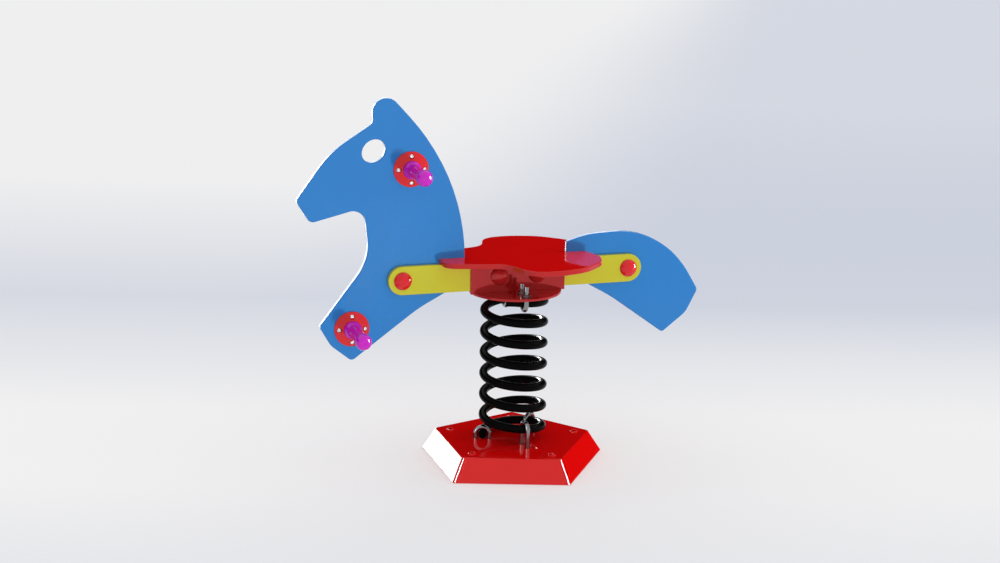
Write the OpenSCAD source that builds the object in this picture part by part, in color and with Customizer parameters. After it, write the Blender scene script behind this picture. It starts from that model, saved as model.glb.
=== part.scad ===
// Spring rider for a playground: a horse cut from flat panels on a coil spring.
// Frame: origin on the spring's axis at ground level, +Z up, +X toward the tail.
// The panels stand in the plane Y = 0, and the near side is -Y.

/* [Base] */
// Corner radius of the five-sided base at the ground
base_r = 200; // [185:1:240]
// Corner radius of the base at its top face
base_top_r = 169; // [160:1:180]
// Height of the base
base_h = 46; // [40:1:70]
// Wall of the base's sloping sides
base_wall = 7; // [5:0.5:9]
// Thickness of the base's top
base_top_t = 8; // [5:0.5:10]
// Rounding of the base's sloping corners
base_round = 8; // [3:0.5:14]
// Distance of the anchor holes from the axis
anchor_r = 137; // [125:1:141]
// Diameter of the anchor holes
anchor_d = 9; // [7:0.5:11]
// Diameter of the pillars round the anchor holes
pillar_d = 22; // [18:0.5:24]
// Diameter of the raised collar on each anchor hole
collar_d = 15; // [13:0.5:18]
// Height of the raised collar
collar_h = 2.5; // [1:0.5:5]
// Radius of the backing plate under the base's top
backing_r = 92; // [90:1:105]
// Thickness of the backing plate
backing_t = 5; // [3:0.5:7]

/* [Spring] */
// Outside diameter of the coil
coil_od = 140; // [130:1:150]
// Diameter of the spring wire
wire_d = 17.5; // [16:0.5:20]
// Turns at the full pitch
mid_turns = 5.95; // [5.9:0.05:6.1]
// Turns of the closing part at the lower end
low_turns = 0.4; // [0.35:0.05:0.5]
// Turns of the closing part at the upper end
high_turns = 0.4; // [0.35:0.05:0.5]
// Direction of the lower end, counted from the tail
coil_start = 162; // [155:1:170]
// Height of the underside of the bracket's floor above the ground
floor_z = 359; // [350:1:420]

/* [Clamps] */
// Rod diameter of the U-bolts
rod_d = 9.5; // [8:0.5:11]
// Direction of the front lower U-bolt, counted from the tail
front_a = 277; // [262:1:285]
// Direction of the side lower U-bolt, counted from the tail
side_a = 36; // [25:1:50]
// How far the upper legs stand above the bracket's floor
leg_stand = 21; // [14:0.5:30]
// Width of the nuts across their flats
nut_af = 16; // [14.5:0.5:17]
// Height of the lower nuts
nut_h = 8; // [6:0.5:9]
// Height of the upper nuts
thin_nut_h = 5; // [4:0.5:8]

/* [Bracket] */
// Diameter of the bracket's floor
floor_d = 190; // [180:1:210]
// Thickness of the bracket's floor
floor_t = 5; // [4:0.5:8]
// Length of the bracket's cheeks
cheek_l = 200; // [180:1:210]
// Thickness of the bracket's cheeks
cheek_t = 4; // [3:0.5:5]
// Width of the flange under the seat
ledge_w = 15; // [13:0.5:20]

/* [Bars] */
// Length of the bars between their rounded ends' centres
bar_l = 480; // [460:1:520]
// Height of the bars
bar_h = 58; // [50:1:60]
// Thickness of the bars
bar_t = 11; // [8:0.5:14]
// Clearance of the bars above the bracket's floor
bar_lift = 4; // [1:0.5:10]
// Distance between the two inner bolts
inner_l = 80; // [70:1:120]
// Diameter of the bolts
bolt_d = 10; // [8:0.5:12]
// Diameter of the domed bolt caps
cap_d = 36; // [32:0.5:42]
// Height of the domed bolt caps
cap_h = 12; // [10:0.5:16]

/* [Seat] */
// Length of the seat
seat_l = 325; // [300:1:350]
// Width of the seat
seat_w = 340; // [300:1:360]
// Thickness of the seat
seat_t = 10; // [9:0.5:14]
// How far the seat reaches in front of the axis
seat_front = 163; // [150:1:175]

/* [Panels] */
// Thickness of the panels
panel_t = 13; // [10:0.5:18]
// Distance between the two panels
panel_gap = 217; // [210:1:230]
// Reach of the front panel
front_l = 343; // [330:1:380]
// Height of the front panel
front_h = 525; // [500:1:560]
// How far the front panel's foot lies below the bars' middle
foot_drop = 161; // [150:1:170]
// Reach of the rear panel
rear_l = 295; // [280:1:330]
// Height of the rear panel
rear_h = 223; // [215:1:250]
// How far the rear panel's lowest corner lies below the bars' middle
rear_drop = 146; // [135:1:155]
// Length of the eye opening
eye_l = 50; // [44:1:58]
// Width of the eye opening
eye_w = 42; // [32:1:46]
// Tilt of the eye opening
eye_tilt = 40; // [0:1:60]

/* [Handles] */
// Diameter of the handle flanges
flange_d = 71; // [66:1:78]
// Height of the flanges at their rim
flange_rim = 3; // [2:0.5:4.5]
// Height of the flanges at the grip
flange_h = 9.5; // [8:0.5:12]
// Diameter of the circle of flange screws
screw_pcd = 52; // [51:0.5:54]
// Diameter of the flange screws
screw_d = 6; // [4:0.5:7]
// Diameter of the flange screws' heads
screw_head_d = 9.5; // [8:0.5:10]
// Length of the grips
grip_l = 104; // [90:1:130]
// Diameter of the grips at the flange
grip_base_d = 36; // [34:0.5:40]
// Diameter of the grips at the thick end
grip_end_d = 32; // [30:0.5:36]
// Diameter of the grips at the waist
grip_waist_d = 26; // [24:0.5:30]
// Diameter of the rods inside the grips
core_rod_d = 16; // [12:0.5:18]

/* [Hidden] */
$fn = 64;
sides = 5;
arc_step = 4;
grip_step = 12;
rings = 28;
wire_sides = 10;
overrun = 1;
// gap round a bolt, leg or screw in its hole
hole_clear = 0.25;
// gap between the wire and the pieces that hold it
wire_clear = 0.35;
// gap between the wire and the U-bolts
clamp_clear = 0.7;
// gap round a nut's rod
nut_clear = 0.1;
// gap between the seat's slots and the panels
slot_clear = 0.3;
// gap between the core block and the panels
core_clear = 8;
// gap inside the caps and grips, round what they hide
inner_gap = 1.5;
// gap round the flange screws' heads in their pockets
pocket_clear = 0.5;
// how far the lower legs stand out of their nuts
leg_end = 4;
// how much of a corner's room its rounding may take
round_fit_share = 0.98;
// pitch at the spring's lower and upper end against the full pitch
low_pitch_share = 0.5;
high_pitch_share = 0.8;
// place of the end clamp along the wire's straight end
end_clamp_share = 0.55;

near_a = 270;
far_a = 90;

// half of the angle that one side of the base takes
half_side = 180 / sides;
taper_share = base_top_r / base_r;

wire_r = wire_d / 2;
coil_r = (coil_od - wire_d) / 2;
low_z = base_h + wire_r + wire_clear;
high_z = floor_z - wire_r - wire_clear;
turns = low_turns + mid_turns + high_turns;
low_rise_turns = low_turns * (1 + low_pitch_share) / 2;
high_rise_turns = high_turns * (1 + high_pitch_share) / 2;
pitch = (high_z - low_z) / (low_rise_turns + mid_turns + high_rise_turns);
end_a = coil_start - 360 * turns;

clamp_r = wire_r + clamp_clear + rod_d / 2;
rod_hole_d = rod_d + 2 * hole_clear;

floor_top = floor_z + floor_t;
bar_z = floor_top + bar_lift;
bar_mid = bar_z + bar_h / 2;
bar_top = bar_z + bar_h;
bar_y = panel_t / 2;
cheek_y = bar_y + bar_t;
cheek_face = cheek_y + cheek_t;
bolt_hole_d = bolt_d + 2 * hole_clear;
head_d_share = 1.8;
head_d = head_d_share * bolt_d;
head_h_share = 0.5;
head_h = head_h_share * bolt_d;
cap_rim_share = 0.2;

ledge_screw_x_share = 0.37;
ledge_screw_d = 6;
ledge_head_d = 11;
ledge_head_h = 4;
ledge_cover = 2;
ledge_screw_y = cheek_face + ledge_w / 2;

front_x = -panel_gap / 2;
rear_x = panel_gap / 2;
foot_z = bar_mid - foot_drop;
rear_z = bar_mid - rear_drop;
upper_handle_shares = [0.33, 0.731];
lower_handle_shares = [0.68, 0.128];
eye_shares = [0.548, 0.804];
screw_seat_share = 0.5;
screw_seat = screw_seat_share * flange_h;
screw_head_share = 0.4;
screw_head_h = screw_head_share * screw_head_d;
grip_wall = 14;

// Outline of the front panel from the ear: reach, height and rounding
front_shares = [
  [0.437, 1, 0.0525],
  [0.557, 1, 0.0525],
  [0.551, 0.908, 0.03],
  [0.805, 0.802, 0.4],
  [1, 0.627, 0.025],
  [0.918, 0.541, 0.027],
  [0.603, 0.592, 0.05],
  [0.574, 0.392, 0.19],
  [0.869, 0.141, 0.015],
  [0.802, 0.065, 0.076],
  [0.679, 0, 0.019],
  [0.28, 0.19, 0.57],
  [0, 0.286, 0.015],
  [0, 0.484, 0.8],
  [0.093, 0.699, 0.8],
  [0.254, 0.869, 0.8]
];

// Outline of the rear panel from its front end: reach, height and rounding
rear_shares = [
  [0, 0.924, 0.018],
  [0.146, 0.982, 0.81],
  [0.41, 1, 0.81],
  [0.593, 0.951, 0.81],
  [0.783, 0.798, 0.81],
  [0.898, 0.619, 0.9],
  [1, 0.395, 0.054],
  [0.915, 0.179, 0.2],
  [0.739, 0, 0.036],
  [0.332, 0.386, 1.35],
  [0, 0.632, 0.027]
];

// One half of the seat's outline from its nose: length, half width and rounding
seat_shares = [
  [0, 0.33, 0.165],
  [0.36, 0.503, 0.28],
  [0.44, 0.936, 0.28],
  [0.612, 1, 0.7],
  [0.81, 0.889, 0.53],
  [0.963, 0.596, 0.35],
  [1, 0.351, 0.235],
  [0.951, 0, 0.15]
];

// Places along a grip: end of its collar, start and end of its waist, thick end
grip_shares = [0.06, 0.13, 0.6, 0.86];
// rounding of a grip's thick end against its diameter
grip_round_share = 0.27;

// Rounded outlines

function vtx(p, i) = p[(i + len(p)) % len(p)];
function flat(v) = [v[0], v[1]];
function unit(v) = v / norm(v);
function heading(v) = atan2(v[1], v[0]);
function wrap(a) = a - 360 * floor((a + 180) / 360);
function turned(a) = a - 360 * floor(a / 360);
function side_len(p, i) = norm(flat(vtx(p, i + 1)) - flat(vtx(p, i)));
function back_dir(p, i) = unit(flat(vtx(p, i - 1)) - flat(vtx(p, i)));
function fore_dir(p, i) = unit(flat(vtx(p, i + 1)) - flat(vtx(p, i)));
function half_ang(p, i) = acos(back_dir(p, i) * fore_dir(p, i)) / 2;
function want_cut(p, i) = vtx(p, i)[2] / tan(half_ang(p, i));

// room that a corner's rounding takes on its two sides
function fit_cut(p, i) =
  let (
    c = want_cut(p, i),
    before = side_len(p, i - 1) * round_fit_share / (c + want_cut(p, i - 1)),
    after = side_len(p, i) * round_fit_share / (c + want_cut(p, i + 1))
  )
  c * min(1, before, after);

function arc_points(p, i, step) =
  let (
    cut = fit_cut(p, i),
    half = half_ang(p, i),
    r = cut * tan(half),
    here = flat(vtx(p, i)),
    to_mid = unit(back_dir(p, i) + fore_dir(p, i)),
    mid = here + to_mid * (r / sin(half)),
    a0 = heading(here + back_dir(p, i) * cut - mid),
    a1 = heading(here + fore_dir(p, i) * cut - mid),
    sweep = wrap(a1 - a0),
    n = ceil(abs(sweep) / step)
  )
  [for (k = [0:n]) mid + r * [cos(a0 + sweep * k / n), sin(a0 + sweep * k / n)]];

function corner_points(p, i, step) =
  vtx(p, i)[2] == 0 ? [flat(vtx(p, i))] : arc_points(p, i, step);

function rounded(p, step) =
  [for (i = [0:len(p) - 1]) each corner_points(p, i, step)];

// The coil's path

function rise_low(s) =
  low_pitch_share * s + (1 - low_pitch_share) * s * s / (2 * low_turns);
function rise_high(s) =
  s - (1 - high_pitch_share) * s * s / (2 * high_turns);
function rise(s) =
  s < low_turns ? rise_low(s)
  : s < low_turns + mid_turns ? low_rise_turns + s - low_turns
  : low_rise_turns + mid_turns + rise_high(s - low_turns - mid_turns);
function coil_a(s) = coil_start - 360 * s;
function coil_z(s) = low_z + pitch * rise(s);
function round_dir(a) = [cos(a), sin(a), 0];
function along_dir(a) = [-sin(a), cos(a), 0];
function coil_point(s) = coil_r * round_dir(coil_a(s)) + [0, 0, coil_z(s)];

// place on the coil where it passes a direction, near the lower or upper end
function low_place(a) = turned(coil_start - a) / 360;
function high_place(a) = turns - turned(a - end_a) / 360;

ring_count = ceil(turns * rings);
coil_places = [for (i = [0:ring_count]) turns * i / ring_count];
coil_path = concat(
  [coil_point(0) + wire_d * along_dir(coil_a(0))],
  [for (s = coil_places) coil_point(s)],
  [coil_point(turns) - wire_d * along_dir(coil_a(turns))]
);
coil_dirs = concat(
  [round_dir(coil_a(0))],
  [for (s = coil_places) round_dir(coil_a(s))],
  [round_dir(coil_a(turns))]
);

function path_dir(i) =
  unit(coil_path[min(i + 1, len(coil_path) - 1)] - coil_path[max(i - 1, 0)]);
function wire_ring(i) =
  let (
    t = path_dir(i),
    up = unit(cross(t, coil_dirs[i])),
    out = cross(up, t)
  )
  [for (j = [0:wire_sides - 1])
    coil_path[i] + wire_r * (cos(360 * j / wire_sides) * out + sin(360 * j / wire_sides) * up)];

function ring_faces(i) =
  [for (j = [0:wire_sides - 1])
    let (
      a = i * wire_sides + j,
      b = i * wire_sides + (j + 1) % wire_sides
    )
    each [[a, b, a + wire_sides], [b, b + wire_sides, a + wire_sides]]];

wire_points = [for (i = [0:len(coil_path) - 1]) each wire_ring(i)];
last_ring = (len(coil_path) - 1) * wire_sides;
wire_faces = concat(
  [for (j = [1:wire_sides - 2]) [0, j + 1, j]],
  [for (i = [0:len(coil_path) - 2]) each ring_faces(i)],
  [for (j = [1:wire_sides - 2]) [last_ring, last_ring + j, last_ring + j + 1]]
);

// least gap between the wire and itself, half a turn or more along the path
least_gap = min([
  for (i = [0:len(coil_path) - 1])
  for (k = [i + ceil(rings / 2):1:len(coil_path) - 1])
  norm(coil_path[i] - coil_path[k]) - wire_d
]);
echo(least_gap_of_spring_to_itself = least_gap);

// Placing helpers

// stands the Z axis on a side face of the panels
module on_side(near, y) {
  rotate([near ? 90 : -90, 0, 0])
    translate([0, 0, y])
      children();
}

// turns a shape drawn flat so that its Y becomes the height
module upright(t) {
  rotate([90, 0, 0])
    linear_extrude(height = t, center = true)
      children();
}

// a round hole straight through the panels, bars and cheeks
module cross_hole(x, z, d) {
  translate([x, 0, z])
    rotate([90, 0, 0])
      cylinder(d = d, h = 2 * (cheek_face + overrun), center = true);
}

function front_at(f) = [front_x - f[0] * front_l, foot_z + f[1] * front_h];

// Base

module five_sided(r) {
  offset(r = base_round, $fn = 60)
    circle(r = r - base_round / cos(half_side), $fn = sides);
}

wall_r = base_wall / cos(half_side);
inner_h = base_h - base_top_t;
inner_top_r = base_r - (base_r - base_top_r) * inner_h / base_h - wall_r;
inner_r = base_r - wall_r;

module at_anchors() {
  for (i = [0:sides - 1])
    rotate([0, 0, 360 * i / sides])
      translate([anchor_r, 0, 0])
        children();
}

module at_low_legs() {
  for (a = [front_a, side_a])
    at_coil(a)
      at_legs()
        children();
  at_low_end()
    at_legs()
      children();
}

// over the middle of the wire, in the direction a from the axis
module at_coil(a) {
  rotate([0, 0, a])
    translate([coil_r, 0, 0])
      children();
}

module at_low_end() {
  rotate([0, 0, coil_start])
    translate([coil_r, end_clamp_share * wire_d, 0])
      children();
}

module at_legs() {
  for (s = [-1, 1])
    translate([s * clamp_r, 0, 0])
      children();
}

module base_shell() {
  color([0.75, 0.04, 0.05])
    difference() {
      union() {
        difference() {
          linear_extrude(height = base_h, scale = taper_share)
            five_sided(base_r);
          translate([0, 0, -overrun])
            linear_extrude(height = inner_h + overrun, scale = inner_top_r / inner_r)
              five_sided(inner_r);
        }
        at_anchors()
          cylinder(d = pillar_d, h = inner_h + base_top_t / 2);
        at_anchors()
          translate([0, 0, inner_h])
            cylinder(d = collar_d, h = base_top_t + collar_h);
      }
      at_anchors()
        translate([0, 0, -overrun])
          cylinder(d = anchor_d, h = base_h + collar_h + 2 * overrun);
      at_low_legs()
        cylinder(d = rod_hole_d, h = base_h + overrun);
    }
}

module base_backing() {
  color([0.45, 0.46, 0.48])
    difference() {
      translate([0, 0, inner_h - backing_t])
        cylinder(r = backing_r, h = backing_t);
      at_low_legs()
        cylinder(d = rod_hole_d, h = base_h);
    }
}

// Spring and clamps

module spring() {
  color([0.05, 0.05, 0.05])
    polyhedron(points = wire_points, faces = wire_faces, convexity = 20);
}

// a bent rod over the wire, with both legs reaching down by leg
module u_bolt(leg) {
  color([0.75, 0.76, 0.78]) {
    rotate([90, 0, 0])
      rotate_extrude(angle = 180)
        translate([clamp_r, 0])
          circle(d = rod_d, $fn = 32);
    at_legs()
      translate([0, 0, -leg])
        cylinder(d = rod_d, h = leg);
  }
}

low_nut_z = inner_h - backing_t - nut_h;
low_leg_z = low_nut_z - leg_end;
front_place_z = coil_z(low_place(front_a));
side_place_z = coil_z(low_place(side_a));
near_place_z = coil_z(high_place(near_a));
far_place_z = coil_z(high_place(far_a));
leg_top = floor_top + leg_stand;

module stood_ubolt(a, z) {
  at_coil(a)
    translate([0, 0, z])
      u_bolt(z - low_leg_z);
}

module lower_ubolt_front() {
  stood_ubolt(front_a, front_place_z);
}

module lower_ubolt_side() {
  stood_ubolt(side_a, side_place_z);
}

module lower_ubolt_end() {
  at_low_end()
    translate([0, 0, low_z])
      u_bolt(low_z - low_leg_z);
}

module hung_ubolt(a, z) {
  at_coil(a)
    translate([0, 0, z])
      mirror([0, 0, 1])
        u_bolt(leg_top - z);
}

module upper_ubolt_near() {
  hung_ubolt(near_a, near_place_z);
}

module upper_ubolt_far() {
  hung_ubolt(far_a, far_place_z);
}

module nut(h) {
  color([0.7, 0.71, 0.73])
    difference() {
      cylinder(d = nut_af / cos(30), h = h, $fn = 6);
      translate([0, 0, -overrun])
        cylinder(d = rod_d + 2 * nut_clear, h = h + 2 * overrun);
    }
}

module lower_nut(a, s) {
  at_coil(a)
    translate([s * clamp_r, 0, low_nut_z])
      nut(nut_h);
}

module end_nut(s) {
  at_low_end()
    translate([s * clamp_r, 0, low_nut_z])
      nut(nut_h);
}

module upper_nut(a, s) {
  at_coil(a)
    translate([s * clamp_r, 0, floor_top])
      nut(thin_nut_h);
}

// Bracket between the spring and the seat

module at_ledge_screws(s) {
  for (x = [-1, 1])
    translate([x * ledge_screw_x_share * cheek_l, s * ledge_screw_y, 0])
      children();
}

module seat_bracket() {
  color([0.72, 0.05, 0.05])
    difference() {
      union() {
        translate([0, 0, floor_z])
          cylinder(d = floor_d, h = floor_t, $fn = 96);
        for (s = [0, 1])
          mirror([0, s, 0]) {
            translate([-cheek_l / 2, cheek_y, floor_z + floor_t / 2])
              cube([cheek_l, cheek_t, bar_top - floor_z - floor_t / 2]);
            translate([-cheek_l / 2, cheek_y, bar_top - cheek_t])
              cube([cheek_l, cheek_t + ledge_w, cheek_t]);
          }
      }
      for (a = [near_a, far_a])
        at_coil(a)
          translate([0, 0, floor_z - overrun])
            at_legs()
              cylinder(d = rod_hole_d, h = floor_t + 2 * overrun);
      for (x = [-1, 1])
        cross_hole(x * inner_l / 2, bar_mid, bolt_hole_d);
      for (s = [-1, 1])
        at_ledge_screws(s)
          translate([0, 0, bar_top - cheek_t - overrun])
            cylinder(d = ledge_screw_d + 2 * hole_clear, h = cheek_t + 2 * overrun);
    }
}

module core_block() {
  l = panel_gap - 2 * core_clear;
  color([0.65, 0.06, 0.06])
    difference() {
      translate([-l / 2, -panel_t / 2, bar_z])
        cube([l, panel_t, bar_h]);
      for (x = [-1, 1])
        cross_hole(x * inner_l / 2, bar_mid, bolt_hole_d);
    }
}

// Bars that tie the panels to the bracket

module bar() {
  color([0.82, 0.78, 0.15])
    difference() {
      translate([0, bar_y, bar_mid])
        rotate([-90, 0, 0])
          union() {
            translate([-bar_l / 2, -bar_h / 2, 0])
              cube([bar_l, bar_h, bar_t]);
            for (x = [-1, 1])
              translate([x * bar_l / 2, 0, 0])
                cylinder(d = bar_h, h = bar_t);
          }
      for (x = [-1, 1]) {
        cross_hole(x * inner_l / 2, bar_mid, bolt_hole_d);
        cross_hole(x * bar_l / 2, bar_mid, bolt_hole_d);
      }
    }
}

module bar_near() {
  mirror([0, 1, 0])
    bar();
}

module bar_far() {
  bar();
}

// a bolt across the stack, with a head and a nut outside the faces at y
module cross_bolt(x, y) {
  color([0.7, 0.71, 0.73])
    translate([x, 0, bar_mid])
      rotate([90, 0, 0])
        union() {
          cylinder(d = bolt_d, h = 2 * y, center = true);
          for (s = [0, 1])
            mirror([0, 0, s])
              translate([0, 0, y])
                cylinder(d = head_d, h = head_h);
        }
}

// a hollow dome that hides a bolt's head on the face at y
module bolt_cap(x, y, near) {
  rim = cap_rim_share * cap_h;
  rise = cap_h - rim;
  r = cap_d / 2;
  ball_r = (r * r + rise * rise) / (2 * rise);
  color([0.8, 0.08, 0.08])
    translate([x, 0, bar_mid])
      on_side(near, y)
        difference() {
          union() {
            cylinder(d = cap_d, h = rim);
            intersection() {
              translate([0, 0, cap_h - ball_r])
                sphere(r = ball_r);
              translate([0, 0, rim])
                cylinder(d = 2 * cap_d, h = cap_h);
            }
          }
          translate([0, 0, -overrun])
            cylinder(d = head_d + 2 * inner_gap, h = head_h + inner_gap + overrun);
        }
}

// Panels and seat

front_points = rounded(
  [for (f = front_shares) [front_x - f[0] * front_l, foot_z + f[1] * front_h, f[2] * front_h]],
  arc_step
);
rear_points = rounded(
  [for (f = rear_shares) [rear_x + f[0] * rear_l, rear_z + f[1] * rear_h, f[2] * rear_h]],
  arc_step
);

upper_at = front_at(upper_handle_shares);
lower_at = front_at(lower_handle_shares);
eye_at = front_at(eye_shares);
screw_angles = [0, 90, 180, 270];
screw_hole_d = screw_d + 2 * hole_clear;
core_hole_d = core_rod_d + 2 * hole_clear;

module handle_holes(at) {
  cross_hole(at[0], at[1], core_hole_d);
  for (a = screw_angles)
    cross_hole(
      at[0] + screw_pcd / 2 * cos(a),
      at[1] + screw_pcd / 2 * sin(a),
      screw_hole_d
    );
}

module eye_opening() {
  translate([eye_at[0], eye_at[1]])
    rotate(eye_tilt)
      polygon([for (a = [0:arc_step * 2:359])
        [eye_l / 2 * cos(a), eye_w / 2 * sin(a)]]);
}

module front_panel() {
  color([0.25, 0.5, 0.78])
    difference() {
      upright(panel_t)
        difference() {
          polygon(front_points);
          eye_opening();
        }
      handle_holes(upper_at);
      handle_holes(lower_at);
      cross_hole(-bar_l / 2, bar_mid, bolt_hole_d);
    }
}

module rear_panel() {
  color([0.18, 0.46, 0.76])
    difference() {
      upright(panel_t)
        polygon(rear_points);
      cross_hole(bar_l / 2, bar_mid, bolt_hole_d);
    }
}

seat_half = [for (f = seat_shares)
  [f[0] * seat_l - seat_front, f[1] * seat_w / 2, f[2] * seat_w / 2]];
seat_last = len(seat_half) - 1;
seat_outline = concat(
  seat_half,
  [for (i = [seat_last - 1:-1:0]) [seat_half[i][0], -seat_half[i][1], seat_half[i][2]]]
);
seat_points = rounded(seat_outline, arc_step);
seat_hole_d = ledge_screw_d + 2 * nut_clear;

module seat() {
  slot_w = panel_t + 2 * slot_clear;
  slot_x = panel_gap / 2 - slot_clear;
  color([0.75, 0.02, 0.03])
    difference() {
      translate([0, 0, bar_top])
        linear_extrude(height = seat_t)
          difference() {
            polygon(seat_points);
            translate([-slot_x - seat_l, -slot_w / 2])
              square([seat_l, slot_w]);
            translate([slot_x, -slot_w / 2])
              square([seat_l, slot_w]);
          }
      for (s = [-1, 1])
        at_ledge_screws(s)
          translate([0, 0, bar_top - overrun])
            cylinder(d = seat_hole_d, h = seat_t - ledge_cover + overrun);
    }
}

module seat_screw(x, s) {
  color([0.7, 0.71, 0.73])
    translate([x * ledge_screw_x_share * cheek_l, s * ledge_screw_y, bar_top - cheek_t])
      union() {
        translate([0, 0, -ledge_head_h])
          cylinder(d = ledge_head_d, h = ledge_head_h);
        cylinder(d = ledge_screw_d, h = cheek_t + seat_t - 2 * ledge_cover);
      }
}

// Handles and footrests

module at_handle(at, near) {
  translate([at[0], 0, at[1]])
    on_side(near, panel_t / 2)
      children();
}

module flange(at, near) {
  r = flange_d / 2;
  seat_r = grip_base_d / 2;
  drop = (seat_r * seat_r + flange_h * flange_h - r * r - flange_rim * flange_rim)
    / (2 * (flange_h - flange_rim));
  ball_r = norm([r, flange_rim - drop]);
  color([0.78, 0.1, 0.1])
    at_handle(at, near)
      difference() {
        intersection() {
          cylinder(d = flange_d, h = flange_h);
          translate([0, 0, drop])
            sphere(r = ball_r);
        }
        translate([0, 0, -overrun])
          cylinder(d = core_hole_d, h = flange_h + 2 * overrun);
        for (a = screw_angles)
          rotate([0, 0, a])
            translate([screw_pcd / 2, 0, 0]) {
              translate([0, 0, -overrun])
                cylinder(d = screw_hole_d, h = flange_h + 2 * overrun);
              translate([0, 0, screw_seat])
                cylinder(d = screw_head_d + 2 * pocket_clear, h = flange_h);
            }
      }
}

grip_profile = rounded(
  [
    [0, 0, 0],
    [grip_base_d / 2, 0, 0],
    [grip_base_d / 2, grip_shares[0] * grip_l, grip_shares[0] * grip_l / 2],
    [grip_waist_d / 2, grip_shares[1] * grip_l, grip_shares[1] * grip_l],
    [grip_waist_d / 2, grip_shares[2] * grip_l, grip_shares[2] * grip_l],
    [grip_end_d / 2, grip_shares[3] * grip_l, grip_shares[1] * grip_l],
    [grip_end_d / 2, grip_l, grip_round_share * grip_end_d],
    [0, grip_l, 0]
  ],
  grip_step
);

module grip(at, near) {
  color([0.72, 0.12, 0.7])
    at_handle(at, near)
      translate([0, 0, flange_h])
        difference() {
          rotate_extrude()
            polygon(grip_profile);
          translate([0, 0, -overrun])
            cylinder(d = core_hole_d, h = grip_l - grip_wall + overrun);
        }
}

module core_rod(at) {
  l = panel_t + 2 * (flange_h + grip_l - grip_wall - inner_gap);
  color([0.6, 0.61, 0.63])
    translate([at[0], 0, at[1]])
      rotate([90, 0, 0])
        cylinder(d = core_rod_d, h = l, center = true);
}

module flange_screw(at, a) {
  y = panel_t / 2 + screw_seat;
  head_r = screw_head_d / 2;
  ball_r = (head_r * head_r + screw_head_h * screw_head_h) / (2 * screw_head_h);
  color([0.8, 0.81, 0.83])
    translate([at[0] + screw_pcd / 2 * cos(a), 0, at[1] + screw_pcd / 2 * sin(a)])
      rotate([90, 0, 0])
        union() {
          cylinder(d = screw_d, h = 2 * y, center = true);
          for (s = [0, 1])
            mirror([0, 0, s])
              translate([0, 0, y])
                intersection() {
                  cylinder(d = screw_head_d, h = screw_head_h);
                  translate([0, 0, screw_head_h - ball_r])
                    sphere(r = ball_r);
                }
        }
}

base_shell();
base_backing();
lower_ubolt_front();
lower_ubolt_end();
lower_ubolt_side();
lower_nut(front_a, -1);  // lower_nut_1
lower_nut(front_a, 1);  // lower_nut_2
end_nut(-1);  // lower_nut_3
end_nut(1);  // lower_nut_4
lower_nut(side_a, -1);  // lower_nut_5
lower_nut(side_a, 1);  // lower_nut_6
spring();
seat_bracket();
upper_ubolt_near();
upper_ubolt_far();
upper_nut(near_a, -1);  // upper_nut_1
upper_nut(near_a, 1);  // upper_nut_2
upper_nut(far_a, -1);  // upper_nut_3
upper_nut(far_a, 1);  // upper_nut_4
core_block();
bar_near();
bar_far();
front_panel();
rear_panel();
seat();
seat_screw(-1, -1);  // seat_screw_1
seat_screw(1, -1);  // seat_screw_2
seat_screw(-1, 1);  // seat_screw_3
seat_screw(1, 1);  // seat_screw_4
cross_bolt(-bar_l / 2, cheek_y);  // bolt_front
cross_bolt(-inner_l / 2, cheek_face);  // bolt_inner_front
cross_bolt(inner_l / 2, cheek_face);  // bolt_inner_rear
cross_bolt(bar_l / 2, cheek_y);  // bolt_rear
bolt_cap(-bar_l / 2, cheek_y, true);  // cap_front_near
bolt_cap(-bar_l / 2, cheek_y, false);  // cap_front_far
bolt_cap(-inner_l / 2, cheek_face, true);  // cap_inner_front_near
bolt_cap(-inner_l / 2, cheek_face, false);  // cap_inner_front_far
bolt_cap(inner_l / 2, cheek_face, true);  // cap_inner_rear_near
bolt_cap(inner_l / 2, cheek_face, false);  // cap_inner_rear_far
bolt_cap(bar_l / 2, cheek_y, true);  // cap_rear_near
bolt_cap(bar_l / 2, cheek_y, false);  // cap_rear_far
flange(upper_at, true);  // flange_upper_near
flange(upper_at, false);  // flange_upper_far
flange(lower_at, true);  // flange_lower_near
flange(lower_at, false);  // flange_lower_far
grip(upper_at, true);  // grip_upper_near
grip(upper_at, false);  // grip_upper_far
grip(lower_at, true);  // grip_lower_near
grip(lower_at, false);  // grip_lower_far
core_rod(upper_at);  // rod_upper
core_rod(lower_at);  // rod_lower
flange_screw(upper_at, screw_angles[0]);  // screw_upper_1
flange_screw(upper_at, screw_angles[1]);  // screw_upper_2
flange_screw(upper_at, screw_angles[2]);  // screw_upper_3
flange_screw(upper_at, screw_angles[3]);  // screw_upper_4
flange_screw(lower_at, screw_angles[0]);  // screw_lower_1
flange_screw(lower_at, screw_angles[1]);  // screw_lower_2
flange_screw(lower_at, screw_angles[2]);  // screw_lower_3
flange_screw(lower_at, screw_angles[3]);  // screw_lower_4
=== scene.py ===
# %% [markdown]
# A playground spring rider: a horse of flat panels on a coil spring.
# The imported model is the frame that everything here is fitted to. It gives each
# piece its size, its place and the body that it moves with, and this script
# gives the pieces their rounded edges, fine forms and finishes.

# %% Load the frame
import math

import bmesh
import bpy
from mathutils import Matrix, Vector


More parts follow.
